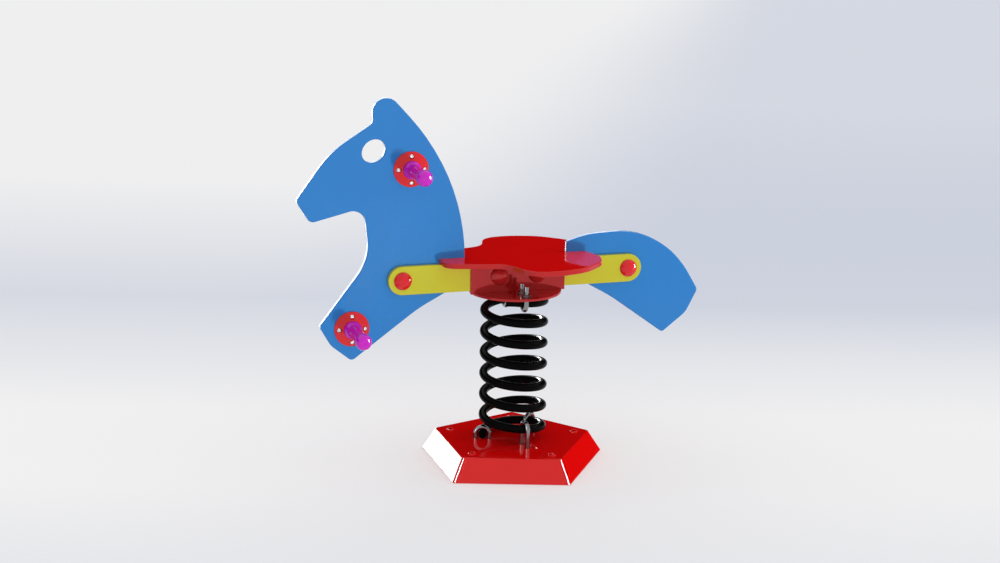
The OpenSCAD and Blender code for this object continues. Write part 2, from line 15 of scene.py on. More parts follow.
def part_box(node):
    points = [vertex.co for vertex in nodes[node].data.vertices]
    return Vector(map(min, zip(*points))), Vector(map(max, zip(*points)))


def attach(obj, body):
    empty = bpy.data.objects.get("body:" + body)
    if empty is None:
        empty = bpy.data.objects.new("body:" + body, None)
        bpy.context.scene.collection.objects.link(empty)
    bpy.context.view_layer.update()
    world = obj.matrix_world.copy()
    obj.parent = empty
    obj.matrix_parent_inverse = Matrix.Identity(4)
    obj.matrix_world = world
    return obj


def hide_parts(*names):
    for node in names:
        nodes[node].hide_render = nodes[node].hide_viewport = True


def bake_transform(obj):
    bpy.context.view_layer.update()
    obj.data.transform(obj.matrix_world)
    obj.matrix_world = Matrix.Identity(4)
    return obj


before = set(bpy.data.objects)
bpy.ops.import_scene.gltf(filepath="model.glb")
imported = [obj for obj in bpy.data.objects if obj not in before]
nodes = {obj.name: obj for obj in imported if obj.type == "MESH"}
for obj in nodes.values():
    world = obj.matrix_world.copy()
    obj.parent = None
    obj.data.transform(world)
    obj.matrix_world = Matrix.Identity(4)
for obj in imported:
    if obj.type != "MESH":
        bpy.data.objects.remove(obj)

scene = bpy.context.scene
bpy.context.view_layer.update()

# %% [markdown]
# The camera stands a little to the front of the horse and looks down on it.
# Its place and angles were fitted to the bars, the base's corners and the
# spring, so a point of the frame falls on the same point of the picture.

# %% Camera
lens_mm = 64.8
camera_at = Vector((-1.128, -3.374, 1.252))
view_turn = math.radians(-18)
view_dip = math.radians(13.81)
view_roll = math.radians(0.99)

camera = bpy.data.objects.new("camera", bpy.data.cameras.new("camera"))
scene.collection.objects.link(camera)
scene.camera = camera
camera.data.lens = lens_mm
camera.matrix_world = (
    Matrix.Translation(camera_at)
    @ Matrix.Rotation(view_turn, 4, "Z")
    @ Matrix.Rotation(math.pi / 2 - view_dip, 4, "X")
    @ Matrix.Rotation(view_roll, 4, "Z")
)
scene.view_settings.view_transform = "Standard"
print("camera at", tuple(camera_at), "lens", lens_mm)

# %% [markdown]
# Finishes come first, because each piece takes one as it is made. All of them
# are node materials on Object coordinates, which stay with a piece when it
# moves. One helper adds a node, sets its options and fills its sockets, with a
# value or with a link from another node.

# %% A helper that adds a node
def add(tree, kind, options=None, sockets=None):
    node = tree.nodes.new(kind)
    for key, value in (options or {}).items():
        setattr(node, key, value)
    for key, value in (sockets or {}).items():
        if isinstance(value, bpy.types.NodeSocket):
            tree.links.new(value, node.inputs[key])
        else:
            node.inputs[key].default_value = value
    return node


def blank_finish(name, sockets):
    material = bpy.data.materials.new(name)
    material.use_nodes = True
    tree = material.node_tree
    shader = tree.nodes["Principled BSDF"]
    for key, value in sockets.items():
        shader.inputs[key].default_value = value
    place = add(tree, "ShaderNodeTexCoord").outputs["Object"]
    return material, tree, shader, place


def noise(tree, place, per_metre, detail=2.0):
    sockets = {"Vector": place, "Scale": per_metre, "Detail": detail}
    return add(tree, "ShaderNodeTexNoise", None, sockets).outputs["Fac"]


# %% [markdown]
# No real board is one flat colour. A broad cloud shifts the tone a little, a
# finer one changes how sharply the surface mirrors, and a very fine one lifts
# it into the faint orange peel that pressed and moulded plastic has.

# %% Helpers for tone, gloss and grain
def tone(tree, shader, cloud, colour, spread):
    low = [c * (1 - spread) for c in colour] + [1]
    high = [c * (1 + spread) for c in colour] + [1]
    mix = add(tree, "ShaderNodeMix", {"data_type": "RGBA"}, {"Factor": cloud})
    mix.inputs["A"].default_value = low
    mix.inputs["B"].default_value = high
    tree.links.new(mix.outputs["Result"], shader.inputs["Base Color"])


def gloss(tree, shader, cloud, smooth, dull):
    sockets = {"Value": cloud, "From Min": 0.3, "From Max": 0.7, "To Min": smooth, "To Max": dull}
    spread = add(tree, "ShaderNodeMapRange", None, sockets)
    tree.links.new(spread.outputs["Result"], shader.inputs["Roughness"])


def grain(tree, shader, height, depth, strength):
    sockets = {"Height": height, "Distance": depth, "Strength": strength}
    bump = add(tree, "ShaderNodeBump", None, sockets)
    tree.links.new(bump.outputs["Normal"], shader.inputs["Normal"])


# %% [markdown]
# The horse, the bars and the seat are solid plastic board with a glossy skin.
# The skin is smooth with a slight peel, and where the router has cut the
# outline the edge is duller and carries fine lines along the cut. The seat's
# edge also takes a darker red than its skin, which is painted shade.

# %% Board finishes
def board_skin(name, colour):
    material, tree, shader, place = blank_finish(name, {"IOR": 1.5})
    tone(tree, shader, noise(tree, place, 7), colour, 0.04)
    gloss(tree, shader, noise(tree, place, 45, 4), 0.05, 0.09)
    grain(tree, shader, noise(tree, place, 420, 3), 0.0002, 0.05)
    return material


def board_edge(name, colour):
    material, tree, shader, place = blank_finish(name, {"IOR": 1.5})
    tone(tree, shader, noise(tree, place, 60, 4), colour, 0.03)
    gloss(tree, shader, noise(tree, place, 200, 3), 0.14, 0.22)
    stretch = add(tree, "ShaderNodeMapping", None, {"Vector": place, "Scale": (1, 8, 1)})
    grain(tree, shader, noise(tree, stretch.outputs["Vector"], 300, 2), 0.0001, 0.05)
    return material


blue = (0.013, 0.2, 0.57)
yellow = (0.55, 0.52, 0.012)
red = (0.8, 0.002, 0.002)
# The seat's edge red is darker than its skin red: painted shade along the seat's outline.
shaded_edge_red = (0.5, 0.002, 0.002)
panel_skin = board_skin("blue_board_skin", blue)
panel_edge = board_edge("blue_board_edge", blue)
bar_skin = board_skin("yellow_board_skin", yellow)
bar_edge = board_edge("yellow_board_edge", yellow)
seat_skin = board_skin("red_board_skin", red)
seat_edge = board_edge("red_board_edge", shaded_edge_red)
print("board finishes", panel_skin.name, bar_skin.name, seat_skin.name)

# %% [markdown]
# The base, the caps and the grips are moulded, so their gloss is the mould's.
# The bracket and the spring are powder coated steel: the coat flows a little
# as it melts, which leaves long low waves under a hard shine.

# %% Moulded and coated finishes
def moulded(name, colour, smooth, dull):
    material, tree, shader, place = blank_finish(name, {"IOR": 1.5})
    tone(tree, shader, noise(tree, place, 14), colour, 0.05)
    gloss(tree, shader, noise(tree, place, 90, 4), smooth, dull)
    grain(tree, shader, noise(tree, place, 700, 2), 0.0001, 0.06)
    return material


def powder_coat(name, colour, smooth, dull, sockets):
    material, tree, shader, place = blank_finish(name, sockets)
    tone(tree, shader, noise(tree, place, 30, 3), colour, 0.08)
    gloss(tree, shader, noise(tree, place, 120, 4), smooth, dull)
    grain(tree, shader, noise(tree, place, 260, 2), 0.0003, 0.08)
    return material


base_finish = moulded("moulded_base_red", (0.7, 0.002, 0.002), 0.03, 0.06)
cap_finish = moulded("moulded_cap_red", (0.68, 0.006, 0.012), 0.03, 0.07)
grip_finish = moulded("moulded_grip_magenta", (0.58, 0.005, 0.52), 0.06, 0.11)
bracket_finish = powder_coat(
    "red_powder_coat", (0.44, 0.018, 0.018), 0.04, 0.08, {"IOR": 1.5, "Metallic": 0.35}
)
spring_finish = powder_coat(
    "black_powder_coat", (0.002, 0.002, 0.002), 0.16, 0.24, {"IOR": 1.5, "Specular IOR Level": 0.03}
)
print("moulded and coated finishes", base_finish.name, spring_finish.name)

# %% [markdown]
# The fasteners are steel. Bright plating mirrors almost everything and only a
# fine cloud of roughness breaks it up, while the plain zinc of the hidden plate
# has the broad crystal patches that hot dipping leaves.

# %% Steel finishes
def plated_steel(name, colour, smooth, dull):
    material, tree, shader, place = blank_finish(name, {"Metallic": 1.0})
    tone(tree, shader, noise(tree, place, 120, 3), colour, 0.05)
    gloss(tree, shader, noise(tree, place, 300, 4), smooth, dull)
    grain(tree, shader, noise(tree, place, 900, 2), 0.00002, 0.05)
    return material


def zinc_plate(name):
    material, tree, shader, place = blank_finish(name, {"Metallic": 1.0})
    crystals = add(tree, "ShaderNodeTexVoronoi", None, {"Vector": place, "Scale": 110})
    tone(tree, shader, crystals.outputs["Color"], (0.5, 0.51, 0.53), 0.15)
    gloss(tree, shader, noise(tree, place, 160, 3), 0.3, 0.45)
    return material


steel_finish = plated_steel("bright_plated_steel", (0.3, 0.3, 0.31), 0.1, 0.2)
screw_finish = plated_steel("pale_plated_steel", (0.9, 0.88, 0.87), 0.22, 0.32)
nut_finish = plated_steel("dull_plated_steel", (0.22, 0.21, 0.21), 0.3, 0.4)
plate_finish = zinc_plate("zinc_plated_steel")
print("steel finishes", steel_finish.name, screw_finish.name, plate_finish.name)

# %% [markdown]
# A cut board or a moulding never has a knife edge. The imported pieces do, so each
# visible one is copied, its loose triangles are welded, flat areas become whole
# faces, and every sharp edge gets a small round. Edges that join are rounded
# together, by less where the faces beside them are narrow. Weighted normals then
# keep the flats flat right up to the round. The frame's own piece stays as it is.

# %% Helpers that round a piece's edges
weld = 1e-6
flat_angle = math.radians(1)
sharp_angle = math.radians(38)
round_steps = 3
side_share = 0.4


def new_piece(name, mesh):
    piece = bpy.data.objects.new(name, mesh)
    scene.collection.objects.link(piece)
    return piece


def settle(piece):
    seen = piece.evaluated_get(bpy.context.evaluated_depsgraph_get())
    mesh = bpy.data.meshes.new_from_object(seen)
    piece.modifiers.clear()
    piece.data = mesh
    mesh.name = piece.name
    return piece


def even_shading(piece):
    piece.data.shade_smooth()
    piece.data.set_sharp_from_angle(angle=sharp_angle)
    piece.modifiers.new("even_shading", "WEIGHTED_NORMAL").keep_sharp = True
    return settle(piece)


def welded(node):
    source = nodes[node].data
    shape = bmesh.new()
    corners = [shape.verts.new(v.co) for v in source.vertices]
    for face in source.polygons:
        shape.faces.new([corners[i] for i in face.vertices])
    bmesh.ops.remove_doubles(shape, verts=shape.verts, dist=weld)
    bmesh.ops.dissolve_limit(
        shape, angle_limit=flat_angle, verts=shape.verts, edges=shape.edges
    )
    return shape


def sharp_chains(shape):
    sharp = [e for e in shape.edges if len(e.link_faces) == 2 and e.calc_face_angle() > sharp_angle]
    waiting = dict.fromkeys(sharp)
    chains = []
    for first in sharp:
        if first not in waiting:
            continue
        del waiting[first]
        chain = [first]
        for edge in chain:
            for beside in [e for corner in edge.verts for e in corner.link_edges if e in waiting]:
                if beside in waiting:
                    del waiting[beside]
                    chain.append(beside)
        chains.append(chain)
    return chains


def rounded_copy(name, node, edge_round):
    shape = welded(node)
    sizes = []
    for chain in sharp_chains(shape):
        corners = {corner for edge in chain for corner in edge.verts}
        sides = {edge for corner in corners for edge in corner.link_edges} - set(chain)
        room = side_share * min((edge.calc_length() for edge in sides), default=1.0)
        sizes.append(min(edge_round, room))
        bmesh.ops.bevel(
            shape,
            geom=chain,
            offset=sizes[-1],
            segments=round_steps,
            profile=0.5,
            affect="EDGES",
            clamp_overlap=False,
        )
    print(name, "rounds in mm", sorted({round(size * 1000, 2) for size in sizes}))
    mesh = bpy.data.meshes.new(name)
    shape.to_mesh(mesh)
    shape.free()
    return even_shading(new_piece(name, mesh))


def carry(piece, body, slot, *stands_for):
    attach(piece, body)
    if stands_for:
        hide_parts(*stands_for)
    print(piece.name, "faces", len(piece.data.polygons), "on", body)


# %% [markdown]
# The panels, bars and seat are boards, so each has two finishes: the skin on its
# two broad faces and the routed finish round its outline. A face belongs to the
# skin when it looks along the board's thickness.

# %% Boards
panel_round = 0.0026
bar_round = 0.0012
skin_cosine = 0.9


def board(name, node, edge_round, thickness_axis, skin, edge, slot):
    piece = rounded_copy(name, node, edge_round)
    piece.data.materials.append(skin)
    piece.data.materials.append(edge)
    for face in piece.data.polygons:
        face.material_index = 0 if abs(face.normal[thickness_axis]) > skin_cosine else 1
    carry(piece, "rider", slot, node)
    return piece


along_y = 1
along_z = 2
panels = [
    board(name + "_board", name, panel_round, along_y, panel_skin, panel_edge, "panel_blue")
    for name in ("front_panel", "rear_panel")
]
for name in ("bar_near", "bar_far"):
    board(name + "_board", name, bar_round, along_y, bar_skin, bar_edge, "bar_yellow")
seat = board("seat_board", "seat", bar_round, along_z, seat_skin, seat_edge, "seat_red")

# %% [markdown]
# The base is one hollow moulding and the bracket is folded and welded plate.
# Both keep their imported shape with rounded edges: a broad round on the moulding
# and a slight one on the plate.

# %% Base and bracket
base_round = 0.002
plate_round = 0.0008

base = rounded_copy("base_moulding", "base_shell", base_round)
base.data.materials.append(base_finish)
carry(base, "base", "base_red", "base_shell")

bracket = rounded_copy("bracket_plates", "seat_bracket", plate_round)
bracket.data.materials.append(bracket_finish)
carry(bracket, "rider", "bracket_red", "seat_bracket")

# %% [markdown]
# The spring is one long rod wound on a mandrel, and its shape is a rule: an angle
# that turns steadily and a height that climbs slowly at the two closed ends and
# at the full pitch between them. Geometry Nodes bend a line by that rule and
# sweep a circle along it. To keep the rule readable, a small class lets plain
# arithmetic build the Math nodes.

# %% Arithmetic that builds Math nodes
class Term:
    def __init__(self, tree, socket):
        self.tree = tree
        self.socket = socket

    def math(self, operation, *others):
        node = add(self.tree, "ShaderNodeMath", {"operation": operation})
        for slot, value in enumerate((self, *others)):
            if isinstance(value, Term):
                self.tree.links.new(value.socket, node.inputs[slot])
            else:
                node.inputs[slot].default_value = value
        return Term(self.tree, node.outputs[0])

    def __add__(self, other):
        return self.math("ADD", other)

    def __sub__(self, other):
        return self.math("SUBTRACT", other)

    def __mul__(self, other):
        return self.math("MULTIPLY", other)

    def __truediv__(self, other):
        return self.math("DIVIDE", other)

    def least(self, other):
        return self.math("MINIMUM", other)

    def most(self, other):
        return self.math("MAXIMUM", other)

    def sin(self):
        return self.math("SINE")

    def cos(self):
        return self.math("COSINE")


# %% Helpers for node trees and the pieces they make
socket_kinds = {
    int: "NodeSocketInt",
    float: "NodeSocketFloat",
    bpy.types.Material: "NodeSocketMaterial",
    bpy.types.Object: "NodeSocketObject",
}


def new_tree(name, inputs):
    tree = bpy.data.node_groups.new(name, "GeometryNodeTree")
    sockets = tree.interface
    sockets.new_socket("Geometry", in_out="OUTPUT", socket_type="NodeSocketGeometry")
    sockets.new_socket("Geometry", in_out="INPUT", socket_type="NodeSocketGeometry")
    for label, kind in inputs.items():
        sockets.new_socket(label, in_out="INPUT", socket_type=socket_kinds[kind])
    return tree, tree.nodes.new("NodeGroupInput").outputs


def close_tree(tree, shape, material):
    real = add(tree, "GeometryNodeRealizeInstances", None, {"Geometry": shape})
    coat = add(
        tree,
        "GeometryNodeSetMaterial",
        None,
        {"Geometry": real.outputs["Geometry"], "Material": material},
    )
    end = tree.nodes.new("NodeGroupOutput")
    tree.links.new(coat.outputs["Geometry"], end.inputs["Geometry"])


def grow(name, tree, values, start=None):
    piece = new_piece(name, start or bpy.data.meshes.new(name))
    modifier = piece.modifiers.new("shape", "NODES")
    modifier.node_group = tree
    for socket in tree.interface.items_tree:
        if socket.in_out == "INPUT" and socket.name in values:
            modifier[socket.identifier] = values[socket.name]
    return settle(piece)


def swept_line(tree, count, place, ring, swell):
    line = add(tree, "GeometryNodeCurvePrimitiveLine")
    dots = add(
        tree,
        "GeometryNodeResampleCurve",
        None,
        {"Curve": line.outputs["Curve"], "Count": count},
    )
    joined = add(tree, "ShaderNodeCombineXYZ")
    for axis, value in zip("XYZ", place):
        tree.links.new(value.socket, joined.inputs[axis])
    bent = add(
        tree,
        "GeometryNodeSetPosition",
        None,
        {"Geometry": dots.outputs["Curve"], "Position": joined.outputs["Vector"]},
    )
    sockets = {
        "Curve": bent.outputs["Geometry"],
        "Profile Curve": ring,
        "Scale": swell.socket,
        "Fill Caps": True,
    }
    tube = add(tree, "GeometryNodeCurveToMesh", None, sockets)
    return tube.outputs["Mesh"]


def line_factor(tree):
    return Term(tree, add(tree, "GeometryNodeSplineParameter").outputs["Factor"])


def ring_of(tree, radius, count):
    sockets = {"Radius": radius, "Resolution": count}
    return add(tree, "GeometryNodeCurvePrimitiveCircle", None, sockets).outputs["Curve"]


# %% The spring's node tree
wire_tree, wire_in = new_tree(
    "wound_wire",
    {
        "First turn": float,
        "Last turn": float,
        "Turns": float,
        "Low turns": float,
        "High turns": float,
        "Low pitch share": float,
        "High pitch share": float,
        "Pitch": float,
        "Low height": float,
        "Start angle": float,
        "Coil radius": float,
        "Wire radius": float,
        "Rings": int,
        "Sides": int,
        "Cut": float,
        "Finish": bpy.types.Material,
    },
)
wire = {label: Term(wire_tree, socket) for label, socket in wire_in.items() if label}

along = wire["First turn"] + (wire["Last turn"] - wire["First turn"]) * line_factor(wire_tree)
on_coil = along.most(0.0).least(wire["Turns"])
angle = wire["Start angle"] - on_coil * math.tau
low_part = on_coil.least(wire["Low turns"])
high_part = (on_coil - wire["Turns"] + wire["High turns"]).most(0.0)
full_part = on_coil - low_part - high_part
low_ease = wire["Low pitch share"] * -1.0 + 1.0
high_ease = wire["High pitch share"] * -1.0 + 1.0
low_climb = low_part * wire["Low pitch share"] + low_part * low_part * low_ease / wire["Low turns"] / 2.0
high_climb = high_part - high_part * high_part * high_ease / wire["High turns"] / 2.0
climb = low_climb + full_part + high_climb
straight = (along - on_coil) * wire["Coil radius"] * math.tau

wire_place = (
    wire["Coil radius"] * angle.cos() + straight * angle.sin(),
    wire["Coil radius"] * angle.sin() - straight * angle.cos(),
    wire["Low height"] + wire["Pitch"] * climb,
)
to_end = (along - wire["First turn"]).least(wire["Last turn"] - along)
tip = to_end * wire["Coil radius"] * math.tau / wire["Wire radius"]
eased = (tip / wire["Cut"]).least(1.0) * wire["Cut"] + (wire["Cut"] * -1.0 + 1.0)
wire_ring = ring_of(wire_tree, wire_in["Wire radius"], wire_in["Sides"])
wire_shape = swept_line(wire_tree, wire_in["Rings"], wire_place, wire_ring, eased)
close_tree(wire_tree, wire_shape, wire_in["Finish"])
print("wound_wire nodes", len(wire_tree.nodes))

# %% [markdown]
# When the horse rocks, the lower turns bend between the base and the middle of
# the spring, and when it sways the upper turns bend between there and the seat.
# So the wire is drawn as two lengths that meet at mid height.

# %% Spring
coil_od = 0.140
wire_d = 0.0175
low_turns = 0.4
full_turns = 5.95
high_turns = 0.4
low_share = 0.5
high_share = 0.8
coil_start = math.radians(162)
base_top = 0.046
floor_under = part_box("seat_bracket")[0].z
wire_gap = 0.00035
ring_step = math.radians(3)
wire_sides = 32

wire_r = wire_d / 2
coil_r = (coil_od - wire_d) / 2
turns = low_turns + full_turns + high_turns
low_z = base_top + wire_r + wire_gap
high_z = floor_under - wire_r - wire_gap
climb_turns = low_turns * (1 + low_share) / 2 + full_turns + high_turns * (1 + high_share) / 2
pitch = (high_z - low_z) / climb_turns
tail_turns = wire_d / (math.tau * coil_r)
meet_z = 0.205
meet_turn = (meet_z - low_z) / pitch + low_turns * (1 - low_share) / 2


def wire_length(name, first, last, cut):
    rings = int((last - first) * math.tau / ring_step)
    values = {
        "First turn": first,
        "Last turn": last,
        "Turns": turns,
        "Low turns": low_turns,
        "High turns": high_turns,
        "Low pitch share": low_share,
        "High pitch share": high_share,
        "Pitch": pitch,
        "Low height": low_z,
        "Start angle": coil_start,
        "Coil radius": coil_r,
        "Wire radius": wire_r,
        "Rings": rings,
        "Sides": wire_sides,
        "Cut": cut,
        "Finish": spring_finish,
    }
    piece = grow(name, wire_tree, values)
    piece.data.shade_smooth()
    piece.data.set_sharp_from_angle(angle=sharp_angle)
    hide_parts("spring")
    print(name, "turns", round(last - first, 3), "faces", len(piece.data.polygons))
    return piece


end_cut = 0.1
lower_wire = wire_length("spring_lower", -tail_turns, meet_turn, end_cut)
upper_wire = wire_length("spring_upper", meet_turn, turns + tail_turns, end_cut)
meet_z - wire_r
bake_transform(lower_wire)
meet_z + wire_r
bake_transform(upper_wire)

# %% [markdown]
# Five U-bolts hold the wire: a round rod bent over it, with threaded legs. The
# same sweep makes them, with another rule for the path, and the threads are
# ripples in the rod's radius near the ends of its legs.

# %% The U-bolts' node tree
hoop_tree, hoop_in = new_tree(
    "bent_rod",
    {
        "Bend radius": float,
        "Rod radius": float,
        "Leg": float,
        "Thread": float,
        "Thread pitch": float,
        "Thread depth": float,
        "Rings": int,
        "Sides": int,
        "Finish": bpy.types.Material,
    },
)
hoop = {label: Term(hoop_tree, socket) for label, socket in hoop_in.items() if label}
arc = hoop["Bend radius"] * math.pi
far = line_factor(hoop_tree) * (hoop["Leg"] * 2.0 + arc)
on_arc = (far - hoop["Leg"]).most(0.0).least(arc)
bend = on_arc / hoop["Bend radius"]
down = (hoop["Leg"] - far).most(0.0) + (far - hoop["Leg"] - arc).most(0.0)
hoop_place = (
    hoop["Bend radius"] * bend.cos() * -1.0,
    far * 0.0,
    hoop["Bend radius"] * bend.sin() - down,
)
to_leg_end = far.least(hoop["Leg"] * 2.0 + arc - far)
in_thread = to_leg_end.math("LESS_THAN", hoop["Thread"])
ripple = (to_leg_end / hoop["Thread pitch"] * math.tau).cos() * 0.5 + 0.5
thinned = (in_thread * ripple * hoop["Thread depth"]) * -1.0 + 1.0
hoop_ring = ring_of(hoop_tree, hoop_in["Rod radius"], hoop_in["Sides"])
hoop_shape = swept_line(hoop_tree, hoop_in["Rings"], hoop_place, hoop_ring, thinned)
close_tree(hoop_tree, hoop_shape, hoop_in["Finish"])
print("bent_rod nodes", len(hoop_tree.nodes))

# %% U-bolts
thread_pitch = 0.0015
thread_depth = 0.02
ring_per_pitch = 5
rod_sides = 24
near_low, near_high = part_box("upper_ubolt_near")
rod_r = (near_high.x - near_low.x) / 2
bend_r = (near_high.y - near_low.y) / 2 - rod_r
thread_low = 0.024
thread_high = 0.008


def u_bolt(name, node, turn, hung, thread, body):
    low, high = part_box(node)
    leg = high.z - low.z - bend_r - rod_r
    length = 2 * leg + math.pi * bend_r
    values = {
        "Bend radius": bend_r,
        "Rod radius": rod_r,
        "Leg": leg,
        "Thread": thread,
        "Thread pitch": thread_pitch,
        "Thread depth": thread_depth,
        "Rings": int(length / thread_pitch * ring_per_pitch),
        "Sides": rod_sides,
        "Finish": steel_finish,
    }
    piece = grow(name, hoop_tree, values)
    middle = (low + high) / 2
    middle.z = high.z - leg if hung else low.z + leg
    flip = Matrix.Rotation(math.pi if hung else 0, 4, "X")
    piece.data.transform(Matrix.Translation(middle) @ Matrix.Rotation(turn, 4, "Z") @ flip)
    piece.data.shade_smooth()
    piece.data.set_sharp_from_angle(angle=sharp_angle)
    carry(piece, body, "bright_steel", node)
    return piece


across = math.radians(270)
front_turn = math.radians(277)
side_turn = math.radians(36)
hoops = [
    u_bolt("ubolt_low_front", "lower_ubolt_front", front_turn, False, thread_low, "base"),
    u_bolt("ubolt_low_side", "lower_ubolt_side", side_turn, False, thread_low, "base"),
    u_bolt("ubolt_low_end", "lower_ubolt_end", coil_start, False, thread_low, "base"),
    u_bolt("ubolt_high_near", "upper_ubolt_near", across, True, thread_high, "rider"),
    u_bolt("ubolt_high_far", "upper_ubolt_far", across, True, thread_high, "rider"),
]

# %% [markdown]
# Caps, grips, screws and nuts are turned forms. Each is made once, as rings of
# points from a profile of radius and height. A row of the profile may also have
# flats, which trim its ring to a hexagon for a nut or a socket.

# %% A helper for turned forms
def turned(name, rows, segments):
    shape = bmesh.new()
    rings = []
    for radius, height, flats in rows:
        if radius == 0:
            rings.append([shape.verts.new((0, 0, height))])
            continue
        ring = []
        for step in range(segments):
            a = math.tau * step / segments
            off_flat = (a + math.pi / 6) % (math.pi / 3) - math.pi / 6
            r = min(radius, flats / math.cos(off_flat)) if flats else radius
            ring.append(shape.verts.new((r * math.cos(a), r * math.sin(a), height)))
        rings.append(ring)
    for under, over in zip(rings, rings[1:]):
        for step in range(segments):
            nxt = (step + 1) % segments
            corners = [under[step % len(under)], under[nxt % len(under)]]
            corners += [over[nxt % len(over)], over[step % len(over)]]
            shape.faces.new(list(dict.fromkeys(corners)))
    bmesh.ops.recalc_face_normals(shape, faces=shape.faces)
    mesh = bpy.data.meshes.new(name)
    shape.to_mesh(mesh)
    shape.free()
    return even_shading(new_piece(name, mesh))


def arc_rows(radius, height, size, first, last, steps):
    rows = []
    for step in range(steps + 1):
        a = math.radians(first + (last - first) * step / steps)
        rows.append((radius + size * math.cos(a), height + size * math.sin(a), None))
    return rows


# %% [markdown]
# Repeated pieces are placed by Geometry Nodes: one tree puts a copy of a form on
# each point of a small mesh, turned as an attribute of that point says. The
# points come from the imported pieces, so nothing is placed by eye.

# %% The placing tree
place_tree, place_in = new_tree(
    "placed_copies",
    {"Form": bpy.types.Object, "Finish": bpy.types.Material},
)
form = add(place_tree, "GeometryNodeObjectInfo", None, {"Object": place_in["Form"]})
facing = add(
    place_tree,
    "GeometryNodeInputNamedAttribute",
    {"data_type": "FLOAT_VECTOR"},
    {"Name": "facing"},
)
spun = add(
    place_tree,
    "FunctionNodeEulerToRotation",
    None,
    {"Euler": facing.outputs["Attribute"]},
)
copies = add(
    place_tree,
    "GeometryNodeInstanceOnPoints",
    None,
    {
        "Points": place_in["Geometry"],
        "Instance": form.outputs["Geometry"],
        "Rotation": spun.outputs["Rotation"],
    },
)
close_tree(place_tree, copies.outputs["Instances"], place_in["Finish"])


def place_copies(name, template, spots, finish, body, slot, stands_for):
    mesh = bpy.data.meshes.new(name)
    mesh.from_pydata([spot for spot, _ in spots], [], [])
    turns_of = mesh.attributes.new("facing", "FLOAT_VECTOR", "POINT")
    turns_of.data.foreach_set("vector", [a for _, turn in spots for a in turn])
    piece = grow(name, place_tree, {"Form": template, "Finish": finish}, mesh)
    bpy.data.objects.remove(template)
    carry(piece, body, slot, *stands_for)
    return piece


to_near = (math.pi / 2, 0, 0)
to_far = (-math.pi / 2, 0, 0)


def side_spot(node):
    low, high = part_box(node)
    near = node.endswith("near")
    middle = (low + high) / 2
    middle.y = high.y if near else low.y
    return middle, to_near if near else to_far


# %% [markdown]
# Each bolt end wears a domed cap, pressed on over the head. The dome is a slice
# of a ball on a short straight rim with a soft corner, hollow underneath.

# %% Caps
sides = ("near", "far")
bar_caps = ["cap_%s_%s" % (bolt, side) for bolt in ("front", "rear") for side in sides]
bracket_caps = ["cap_inner_%s_%s" % (bolt, side) for bolt in ("front", "rear") for side in sides]
cap_low, cap_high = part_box("cap_front_near")
cap_r = (cap_high.x - cap_low.x) / 2
cap_h = cap_high.y - cap_low.y
rim_h = 0.2 * cap_h
dome_h = cap_h - rim_h
ball_r = (cap_r ** 2 + dome_h ** 2) / (2 * dome_h)
dome_edge = math.degrees(math.asin((ball_r - dome_h) / ball_r))
head_room_r = 0.0105
head_room_h = 0.0065
cap_corner = 0.0006
cap_rows = [(0, head_room_h, None), (head_room_r, head_room_h, None), (head_room_r, 0, None)]
cap_rows += arc_rows(cap_r - cap_corner, cap_corner, cap_corner, -90, 0, 4)
cap_rows += arc_rows(0, cap_h - ball_r, ball_r, dome_edge, 89, 24)
cap_rows += [(0, cap_h, None)]


def placed_caps(name, names, finish):
    cap = turned("cap_form", cap_rows, 64)
    spots = [side_spot(node) for node in names]
    return place_copies(name, cap, spots, finish, "rider", "cap_red", names)


caps = placed_caps("bar_caps", bar_caps, cap_finish)
# The caps inside the bracket take the bracket's darker coat instead of the cap red: painted shade for
# where the seat shades them.
placed_caps("bracket_caps", bracket_caps, bracket_finish)

# %% [markdown]
# A handle has a domed flange screwed to the panel and a waisted grip with a
# rounded end. The flange's screw pockets make it more than a turned form, so one
# packed flange is copied with its edges rounded and stands for all four. The
# grip's radius follows a smooth rule from its collar to its thick end.

# %% Flanges
handle_names = ["%s_%s" % (level, side) for level in ("upper", "lower") for side in ("near", "far")]
flange_nodes = ["flange_" + handle for handle in handle_names]
flange_round = 0.0005
flange = rounded_copy("flange_form", "flange_upper_near", flange_round)
flange_at, flange_turn = side_spot("flange_upper_near")
flange.data.transform(
    Matrix.Rotation(-flange_turn[0], 4, "X") @ Matrix.Translation(-flange_at)
)
flange_spots = [side_spot(node) for node in flange_nodes]
place_copies("handle_flanges", flange, flange_spots, cap_finish, "rider", "cap_red", flange_nodes)

# %% Grips
grip_nodes = ["grip_" + handle for handle in handle_names]
grip_low, grip_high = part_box("grip_upper_near")
grip_l = grip_high.y - grip_low.y
collar_r = (grip_high.x - grip_low.x) / 2
waist_r = 0.013
thick_r = 0.016
collar_end, waist_start, waist_end, thick_start = (
    share * grip_l for share in (0.05, 0.14, 0.55, 0.86)
)
core_r = 0.00825
end_wall = 0.014
core_depth = grip_l - end_wall
end_round = 0.0115
collar_corner = 0.001
dimple_r = 0.0016
dimple_floor_r = 0.0012
dimple_depth = 0.0005
steps_along = 60


def ease(value, first, last):
    t = min(max((value - first) / (last - first), 0), 1)
    return t * t * (3 - 2 * t)


def grip_radius(at):
    neck = collar_r + (waist_r - collar_r) * ease(at, collar_end, waist_start)
    body = neck + (thick_r - waist_r) * ease(at, waist_end, thick_start)
    over = max(at - (grip_l - end_round), 0) / end_round
    return body - end_round + end_round * math.sqrt(max(1 - over ** 2, 0)) if over else body


